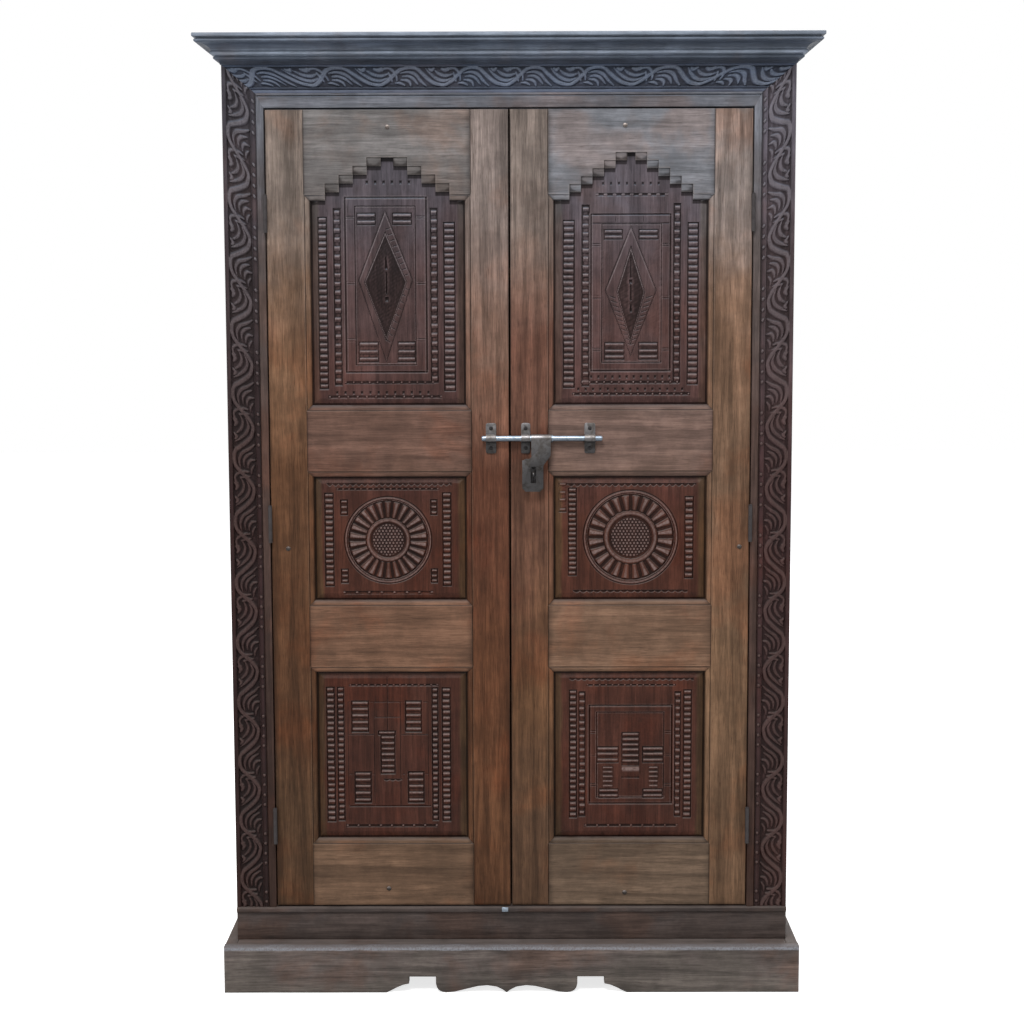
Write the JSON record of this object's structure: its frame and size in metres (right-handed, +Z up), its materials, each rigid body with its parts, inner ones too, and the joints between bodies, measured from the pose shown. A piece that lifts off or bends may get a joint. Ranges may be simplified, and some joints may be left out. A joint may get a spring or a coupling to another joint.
{
  "type": "carved two-door cabinet",
  "caption": "Tall hardwood cabinet with stepped-arch doors, chip-carved panels, a moulded crown, a scalloped plinth, shelves inside and a sliding door bolt with a padlock hasp.",
  "frame": {"origin": "on the floor, under the middle of the whole cabinet's bounding box", "axes": "+Z up, the doors face -Y, +X to the right as seen from the front"},
  "size_m": [1.25, 0.55, 1.957],
  "materials": {
    "crown_wood": "worn dark paint over wood, slate brown",
    "carved_frame_wood": "carved hardwood, almost black in the cuts",
    "door_wood": "waxed hardwood, honey brown on the stiles",
    "panel_wood": "carved hardwood, dark red brown with pale chips",
    "case_wood": "plain boards, rubbed brown",
    "plinth_wood": "worn brown with pale edges",
    "inside_wood": "raw boards",
    "hinge_iron": "dull, with rust",
    "bolt_steel": "worn zinc",
    "nail_iron": "rubbed heads"
  },
  "bodies": {
    "cabinet": {"crown_front": "crown_wood", "crown_left": "crown_wood", "crown_right": "crown_wood", "fascia": "crown_wood", "top_board": "crown_wood", "frieze": "carved_frame_wood", "architrave_left": "carved_frame_wood", "architrave_right": "carved_frame_wood", "jamb_left": "carved_frame_wood", "jamb_right": "carved_frame_wood", "jamb_head": "carved_frame_wood", "side_left": "case_wood", "side_right": "case_wood", "kick_board": "case_wood", "threshold": "case_wood", "plinth_front": "plinth_wood", "plinth_left": "plinth_wood", "plinth_right": "plinth_wood", "plinth_back": "plinth_wood", "plinth_deck": "inside_wood", "plinth_blocks": "inside_wood", "back_boards": "inside_wood", "floor_board": "inside_wood", "shelf_lower": "inside_wood", "shelf_middle": "inside_wood", "shelf_upper": "inside_wood", "shelf_battens": "inside_wood", "door_stop": "inside_wood", "threshold_catch": "bolt_steel", "frame_hinges": "hinge_iron", "hinge_pins": "hinge_iron"},
    "left_door": {"left_outer_stile": "door_wood", "left_inner_stile": "door_wood", "left_bottom_rail": "door_wood", "left_lower_rail": "door_wood", "left_lock_rail": "door_wood", "left_top_rail": "door_wood", "left_top_panel": "panel_wood", "left_middle_panel": "panel_wood", "left_bottom_panel": "panel_wood", "left_nails": "nail_iron", "left_door_hinges": "hinge_iron", "bolt_keeper": "bolt_steel", "keeper_screws": "nail_iron"},
    "right_door": {"right_outer_stile": "door_wood", "right_inner_stile": "door_wood", "right_bottom_rail": "door_wood", "right_lower_rail": "door_wood", "right_lock_rail": "door_wood", "right_top_rail": "door_wood", "right_top_panel": "panel_wood", "right_middle_panel": "panel_wood", "right_bottom_panel": "panel_wood", "right_nails": "nail_iron", "right_door_hinges": "hinge_iron", "bolt_brackets": "bolt_steel", "staple": "bolt_steel", "bracket_screws": "nail_iron"},
    "bolt_rod": {"bolt_rod": "bolt_steel"},
    "hasp": {"hasp": "bolt_steel"}
  },
  "joints": [
    {"name": "left_door_swing", "type": "hinge", "parent": "cabinet", "child": "left_door", "pos_m": [-0.491, -0.2293, 0.9915], "axis": [0, 0, -1], "range_deg": [0, 165]},
    {"name": "right_door_swing", "type": "hinge", "parent": "cabinet", "child": "right_door", "pos_m": [0.491, -0.2293, 0.9915], "axis": [0, 0, 1], "range_deg": [0, 165]},
    {"name": "bolt_slide", "type": "slide", "parent": "right_door", "child": "bolt_rod", "axis": [1, 0, 0], "range_m": [0, 0.064]},
    {"name": "hasp_lift", "type": "hinge", "parent": "bolt_rod", "child": "hasp", "pos_m": [0.064, -0.232, 1.151], "axis": [-1, 0, 0], "range_deg": [-7, 165]}
  ]
}
